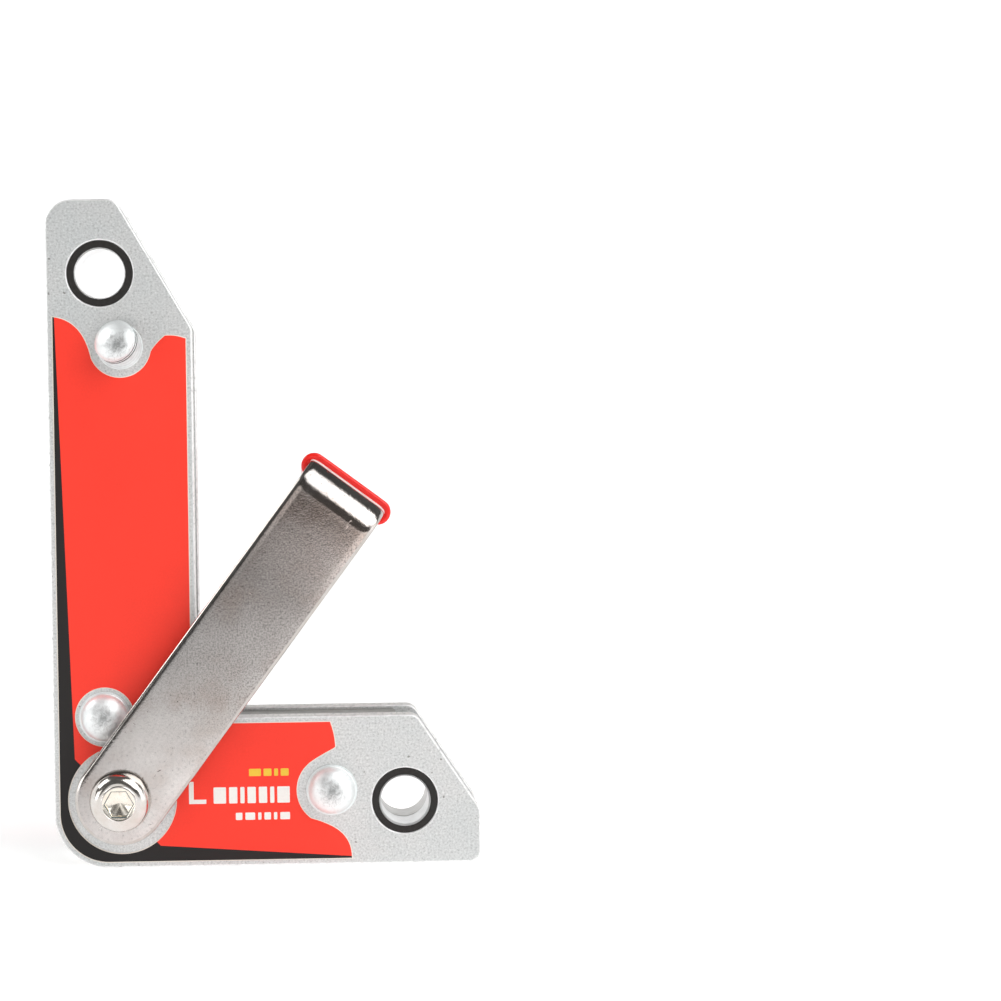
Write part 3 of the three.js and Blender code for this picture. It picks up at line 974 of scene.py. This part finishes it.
def loose_head(middle, base):
    """The upper rivet's head sits askew, its lower right side lifted off its washer."""
    head = rivet_head(middle, base, LOOSE_HIGH, LOOSE_REACH, LOOSE_BAND)
    for face in head.faces:
        spot = face.calc_center_median()
        out = math.hypot(spot.x - middle[0], spot.z - middle[1])
        on_band = base - LOOSE_BAND + 0.05 < spot.y < base - 0.05
        # The groove bottoms take the painted shade, the band between them a lighter alloy.
        if on_band and out > RIVET_SHANK + 1:
            face.material_index = 1 if out < LOOSE_REACH - 0.01 else 2
    tilt = Matrix.Rotation(LOOSE_TILT, 3, Vector((1, 0, 1)))
    far_side = (middle[0] - 3.5, base, middle[1] + 3.5)
    bmesh.ops.rotate(head, verts=head.verts, cent=far_side, matrix=tilt)
    bmesh.ops.translate(head, verts=head.verts, vec=(0.4, 0, 0.1))
    return head


def build_rivets():
    """Three rivets: a head on the lever side, a core end at the back."""
    for where, middle in RIVETS.items():
        node = f"rivet_{where}"
        front = extent(f"rivet_washer_{where}")[0][1]
        high = front - extent(node)[0][1]
        if where == "upper":
            head = loose_head(middle, front)
        else:
            head = rivet_head(middle, front, high, HEAD_REACH, HEAD_BAND)
        end = extent(node)[1][1]
        profile = [(RIVET_SHANK, front - 0.3), (RIVET_SHANK, end - 0.5)]
        profile += [(RIVET_SHANK - 0.15, end - 0.15), (RIVET_SHANK - 0.6, end), (0.5, end + 0.05)]
        bm = merge(head, lathe(middle, profile, sides=48))
        fine(node, bm, at_depth(middle, front), [RIVET_ALLOY, PAINTED_GROOVE_SHADE, BAND_ALLOY])
        build_rivet_rings(where, middle)


def build_rivet_rings(where, middle):
    """The washer under the head, the spacing tube, and the swaged collar at the back."""
    washer, spacer, collar = (f"rivet_{kind}_{where}" for kind in ("washer", "tube", "collar"))
    for node, material in ((washer, WASHER_ALLOY), (spacer, TURNED_STEEL)):
        low, high = extent(node)
        outer = LOOSE_WASHER if node == "rivet_washer_upper" else radius(node)
        bm = tube(middle, RIVET_BORE, outer, low[1], high[1], 0.12)
        fine(node, bm, at_depth(middle, low[1]), [material])
    low, high = extent(collar)
    outer = radius(collar)
    inner = RIVET_SHANK + 0.12
    profile = [
        (inner, low[1]),
        (SWAGE_BORE, low[1]),
        (SWAGE_BORE, BODY + 0.01),
        (outer - 0.05, BODY + 0.01),
        (outer, BODY + 0.2),
        (outer - 0.12, high[1] - 0.22),
        (outer - 0.5, high[1]),
        (inner + 0.85, high[1] - 0.06),
        (inner + 0.45, high[1] - 0.3),
        (inner + 0.1, high[1] - 0.42),
    ]
    bm = lathe(middle, profile, closed=True)
    fine(collar, bm, at_depth(middle, BODY), [RIVET_ALLOY])


def build_blocks():
    """Magnets and spacer bars between the plates."""
    bars = {node: FERRITE for node in SLOT_OF if SLOT_OF[node] == "magnet"}
    bars.update({node: BAR for node in SLOT_OF if SLOT_OF[node] == "bar_steel"})
    r = 0.8
    for node, material in bars.items():
        low, high = extent(node)
        lower = [(low[0], low[2], r), (high[0], low[2], r)]
        upper = [(high[0], high[2], r), (low[0], high[2], r)]
        bm = slab(rounded(lower + upper, 15), [], low[1], high[1], (0.4, 0.4))
        fine(node, bm, low, [material])


def build_bushes():
    """The shaft's bearings in the plates."""
    for node in ("front_bush", "rear_bush"):
        low, high = extent(node)
        inner = 6.58 if node == "front_bush" else 3.58
        bm = tube(PIVOT, inner, radius(node), low[1], high[1], 0.2)
        fine(node, bm, at_depth(PIVOT, low[1]), [BLACK])


# -------------------- the turning lever

def turn_to_rest(bm):
    """Turns a mesh built round the pivot, with the lever along x, to the lever's rest."""
    turn = Matrix.Rotation(-LEVER_REST, 3, "Y")
    bmesh.ops.rotate(bm, verts=bm.verts, cent=(0, 0, 0), matrix=turn)
    bmesh.ops.translate(bm, verts=bm.verts, vec=(PIVOT[0], 0, PIVOT[1]))
    return bm


def lever_strip():
    """The lever before it is bent: flat, one end round, finely cut across where the bend goes."""
    half = LEVER_WIDTH / 2
    length = BEND_AT + BEND_LENGTH + TAB_END - (LEVER_FRONT + LEVER_BEND)
    outline = Pen().arc((0, 0), half, 90, 270).points
    outline += rounded([(length, -half, 4), (length, half, 4), (0, half, 0), (0, -half, 0)])[:-2]
    bore = circle((0, 0), SHAFT_BORE)
    bm = slab(outline, [bore], 0, LEVER_THICK, LEVER_EDGE, 10, hole_edge=(0.15, 0.15), ease=LEVER_EASE)
    bm.normal_update()
    for face in bm.faces:
        # Faces tilted off the flat take the lighter edge nickel, a painted highlight.
        face.material_index = int(abs(face.normal.y) < 0.95)
    cuts = 24
    for i in range(cuts + 1):
        cut(bm, (BEND_AT + BEND_LENGTH * i / cuts, 0, 0), (1, 0, 0))
    # The outer faces of the bend's last part take the pale painted highlight.
    for face in bm.faces:
        middle = face.calc_center_median()
        if BEND_HIGHLIGHT_FROM < middle.x < BEND_AT + BEND_LENGTH and middle.y < LEVER_THICK / 2:
            face.material_index = 2
    return bm


def build_lever():
    """A flat strip with a round end, bent square to the rear."""
    bm = lever_strip()
    for v in bm.verts:
        along, depth, across = v.co
        turn = min(max((along - BEND_AT) / BEND_R, 0), math.pi / 2)
        reach = LEVER_BEND - depth
        past = max(along - BEND_AT - BEND_LENGTH, 0)
        x = min(along, BEND_AT) + reach * math.sin(turn)
        v.co = (x, LEVER_FRONT + LEVER_BEND - reach * math.cos(turn) + past, across)
    origin = at_depth(PIVOT, LEVER_FRONT)
    fine("lever", turn_to_rest(bm), origin, [NICKEL, NICKEL_EDGE_HIGHLIGHT, NICKEL_BEND_HIGHLIGHT])


def stadium(middle, thick, wide, d, steps=14):
    """Points round a slot shape that stands across the lever at x = middle."""
    r = thick / 2
    arm = wide / 2 - r
    points = []
    for end, start in ((arm, 0), (-arm, 180)):
        for i in range(steps + 1):
            angle = math.radians(start + 180 * i / steps)
            points.append((middle + r * math.cos(angle), d, end + r * math.sin(angle)))
    return points


def build_grip():
    """The dipped coat: a round bead at the bend, full sides and a soft closed end."""
    middle = LEVER_REACH - LEVER_THICK / 2
    start, end = extent("grip")[0][1], extent("grip")[1][1]
    bead = (GRIP_THICK - LEVER_THICK - 0.3) / 4
    inner = (LEVER_THICK + 0.3, LEVER_WIDTH + 0.3)
    spread = GRIP_WIDTH - inner[1]
    rings = [stadium(middle, *inner, start + 0.35)]
    for i in range(2, 11):
        turn = math.pi * i / 10
        out = (1 - math.cos(turn)) / 2
        d = start + bead * (1 - math.sin(turn))
        rings.append(stadium(middle, inner[0] + 4 * bead * out, inner[1] + spread * out, d))
    rings.append(stadium(middle - 0.15, GRIP_THICK - 0.1, GRIP_WIDTH - 0.5, start + 3))
    rings.append(stadium(middle - 0.5, GRIP_THICK + 0.3, GRIP_WIDTH - 1.1, start + 7))
    rings.append(stadium(middle - 1.1, GRIP_THICK + 1.2, GRIP_WIDTH - 1.5, end - 4.5))
    for i in range(1, 9):
        turn = math.pi / 2 * i / 8
        gap = GRIP_SOFT * (1 - math.cos(turn))
        d = end - GRIP_SOFT + GRIP_SOFT * math.sin(turn)
        thick, wide = GRIP_THICK + 1.4 - 2 * gap, GRIP_WIDTH - 1.6 - 2 * gap
        rings.append(stadium(middle - 1.2, thick, wide, d))
    made = piece("grip_fine", turn_to_rest(loft(rings)), at_depth(PIVOT, start), [COAT])
    smooth = made.modifiers.new("smooth", "SUBSURF")
    smooth.levels = 1
    smooth.render_levels = 2
    made.modifiers.move(1, 0)
    stands_for(made, "grip")


def hexagon(across):
    """The reach of a hexagon of that width across its flats, at an angle, with corners at 0."""
    def reach(angle):
        turn = angle % (math.pi / 3) - math.pi / 6
        return across / 2 / math.cos(turn)
    return reach


def screw_rings(top, seat, tip):
    """The screw's rings from its tip, over the button head, down into the hexagon socket."""
    head = radius("pivot_screw")
    profile = [(4, tip), (4, seat + 0.3), (4.2, seat), (head - 0.3, seat), (head, seat - 0.25)]
    for i in range(15):
        turn = math.pi / 2 * i / 14
        reach = SCREW_FLAT + (head - SCREW_FLAT) * math.cos(turn)
        profile.append((reach, seat - 0.6 - (seat - 0.75 - top) * math.sin(turn)))
    profile += [(SCREW_FLAT - 0.02, top + 0.12), (SCREW_FLAT - 0.2, top)]
    profile += [(3.8, top), (3.74, top + 0.05)]
    socket = (
        (HEX_KEY + 0.8, top + 0.08),
        (HEX_KEY + 0.4, top + 0.14),
        (HEX_KEY, top + 0.4),
        (HEX_KEY - 0.02, top + 1.7),
    )
    profile += [(hexagon(across), d) for across, d in socket]
    profile += [(HEX_KEY / 2 - 0.05, top + 1.75), (0.2, top + 2.5)]
    return [ring_points((0, 0), r, d, 96) for r, d in profile]


def build_screw():
    """Button head with a flat round a hexagon socket."""
    low, high = extent("pivot_screw")
    top, seat, tip = low[1], LEVER_FRONT, high[1]
    bm = loft(screw_rings(top, seat, tip))
    # Painted light in the socket: its faces take the lighter nickel as a painted highlight, and a thin
    # band of them the dark painted shade line.
    for face in bm.faces:
        middle = face.calc_center_median()
        if math.hypot(middle.x, middle.z) < 3.7 and top + 0.04 < middle.y < seat:
            face.material_index = 2 if top + 0.2 < middle.y < top + 0.32 else 1
    unturn = Matrix.Rotation(LEVER_REST, 3, "Y")
    bmesh.ops.rotate(bm, verts=bm.verts, cent=(0, 0, 0), matrix=unturn)
    fine("pivot_screw", turn_to_rest(bm), at_depth(PIVOT, top), [SCREW, SOCKET_HIGHLIGHT, PAINTED_GROOVE_SHADE])


def build_shaft():
    """A thick shaft through the cam, and its thinner journal in the rear plate."""
    low, high = extent("pivot_shaft")
    step, end = extent("release_cam")[1][1], high[1]
    shaft = [
        (SHAFT_R, low[1]),
        (SHAFT_R, step),
        (JOURNAL_R, step),
        (JOURNAL_R, end - 0.75),
        (3.35, end - 0.4),
        (3.0, end - 0.08),
        (2.7, end),
    ]
    fine("pivot_shaft", lathe(PIVOT, shaft), at_depth(PIVOT, end), [TURNED_STEEL])


def build_cam():
    """A plate with two lobes, which push the magnets off the work."""
    low, high = extent("release_cam")
    lobes = [(*polar(PIVOT, reach, math.radians(turn)), CAM_LOBE_R) for reach, turn in CAM_LOBES]
    outline = belt([(*PIVOT, CAM_HUB), *lobes])
    bm = slab(outline, [circle(PIVOT, SHAFT_BORE)], low[1], high[1], (0.5, 0.5))
    fine("release_cam", bm, at_depth(PIVOT, low[1]), [TURNED_STEEL])


def build_lever_spacer():
    """A collar that holds the lever clear of the rivet heads."""
    low, high = extent("lever_spacer")
    bm = tube(PIVOT, SHAFT_BORE, radius("lever_spacer"), low[1], high[1], 0.3)
    fine("lever_spacer", bm, at_depth(PIVOT, low[1]), [TURNED_STEEL])


# -------------------- studio

SWEEP_REACH = 1.1
SWEEP_CURVE = 0.25
SWEEP_WALL = 0.62
SWEEP_SIDES = 120

# Softboxes: (name, place, width and height, radiance), in metres.
LIGHTS = (
    ("upper_right", (0.43, -0.40, 0.60), (0.68, 0.68), 3.3),
    ("right", (0.8, -0.42, 0.14), (0.6, 0.75), 1.65),
    ("lower_left", (-0.78, -0.52, 0.05), (0.5, 0.45), 2.7),
    ("front", (-0.17, -0.88, 0.14), (0.26, 0.3), 1.0),
    ("left_rim", (-0.70, -0.08, 0.62), (0.45, 0.45), 4.0),
)

# The camera's place on the part in millimetres, and its turns in degrees, outermost first.
CAMERA_PLACE = (60.2, -466.4, 112.8)
CAMERA_TURNS = ((-1.17, "Z"), (90 - 1.74, "X"), (-0.72, "Z"))


def turned_sheet(profile, rise_at):
    """A sheet turned about the middle; rise_at gives its height's share at an angle."""
    bm = bmesh.new()
    rings = []
    for r, z in profile:
        ring = []
        for i in range(SWEEP_SIDES):
            angle = 2 * math.pi * i / SWEEP_SIDES
            ring.append(bm.verts.new((*polar((0, 0), r, angle), z * rise_at(angle))))
        rings.append(ring)
    for a, b in zip(rings, rings[1:]):
        for i in range(SWEEP_SIDES):
            j = (i + 1) % SWEEP_SIDES
            bm.faces.new((a[j], a[i], b[i], b[j]))
    bmesh.ops.remove_doubles(bm, verts=bm.verts, dist=1e-6)
    return bm


def sweep_piece(name, bm, glow):
    """A white sheet that stands on the floor's level and glows a little."""
    mesh = bpy.data.meshes.new(name)
    bm.to_mesh(mesh)
    bm.free()
    mesh.shade_smooth()
    look = Look(f"{name}_paint", (0.82, 0.82, 0.82), 0.9)
    look.shader.inputs["Emission Color"].default_value = (1, 1, 1, 1)
    look.shader.inputs["Emission Strength"].default_value = glow
    mesh.materials.append(look.material)
    sheet = bpy.data.objects.new(name, mesh)
    sheet.location = (0, 0, CAD_BOX[0].z - 0.0002)
    bpy.context.scene.collection.objects.link(sheet)
    return sheet


def behind(angle):
    """The share of the wall's height at an angle: full behind the holder, nothing in front."""
    return min(1, max(0, math.sin(angle) * 2 + 0.6))


def all_round(angle):
    return 1


def build_sweep():
    """A round pale floor that curves up into a wall behind the holder. The wall all round it is
    there for views from behind. It gives no light and no reflection."""
    curve = []
    for i in range(1, 13):
        turn = math.pi / 2 * i / 12
        out = SWEEP_CURVE * math.sin(turn)
        curve.append((SWEEP_REACH - SWEEP_CURVE + out, SWEEP_CURVE * (1 - math.cos(turn))))
    curve.append((SWEEP_REACH, SWEEP_WALL))
    floor = [(0, 0), (0.25, 0), (0.5, 0), (SWEEP_REACH - SWEEP_CURVE, 0)]
    sweep_piece("sweep", turned_sheet(floor + curve, behind), 0.5)
    outer = [(r + 0.02, z - 0.003) for r, z in floor[-1:] + curve]
    wall = sweep_piece("round_wall", turned_sheet(outer, all_round), 1.0)
    wall.visible_diffuse = False
    wall.visible_glossy = False
    wall.visible_transmission = False
    wall.visible_shadow = False


def soft_light(name, place, size, radiance):
    """A rectangular softbox that faces the holder, as bright as radiance all over."""
    target = (CAD_BOX[0] + CAD_BOX[1]) / 2
    light = bpy.data.lights.new(name, "AREA")
    light.shape = "RECTANGLE"
    light.size, light.size_y = size
    light.energy = radiance * math.pi * size[0] * size[1]
    lamp = bpy.data.objects.new(name, light)
    lamp.location = place
    lamp.rotation_euler = (target - Vector(place)).to_track_quat("-Z", "Y").to_euler()
    lamp.visible_camera = False
    bpy.context.scene.collection.objects.link(lamp)


def build_lights():
    """The softboxes in a dim grey studio."""
    for light in LIGHTS:
        soft_light(*light)
    world = bpy.data.worlds.new("studio")
    world.use_nodes = True
    background = world.node_tree.nodes["Background"]
    background.inputs["Color"].default_value = (0.12, 0.118, 0.116, 1)
    background.inputs["Strength"].default_value = 1.0
    bpy.context.scene.world = world


def build_camera():
    """Looks almost square on at the lever side, with the lens shifted towards the free corner."""
    data = bpy.data.cameras.new("camera")
    data.sensor_width = 36
    data.lens = 72.5
    data.shift_x = 0.15
    data.shift_y = -0.06
    data.clip_start = 0.01
    camera = bpy.data.objects.new("camera", data)
    camera.location = to_world(*CAMERA_PLACE)
    facing = Matrix.Identity(4)
    for degrees, axis in CAMERA_TURNS:
        facing = facing @ Matrix.Rotation(math.radians(degrees), 4, axis)
    camera.rotation_euler = facing.to_euler()
    bpy.context.scene.collection.objects.link(camera)
    bpy.context.scene.camera = camera


build_plates()
build_labels()
build_hole_linings()
build_rivets()
build_blocks()
build_bushes()
build_lever()
build_grip()
build_screw()
build_shaft()
build_cam()
build_lever_spacer()
build_sweep()
build_lights()
build_camera()
bpy.context.scene.view_settings.view_transform = "Standard"
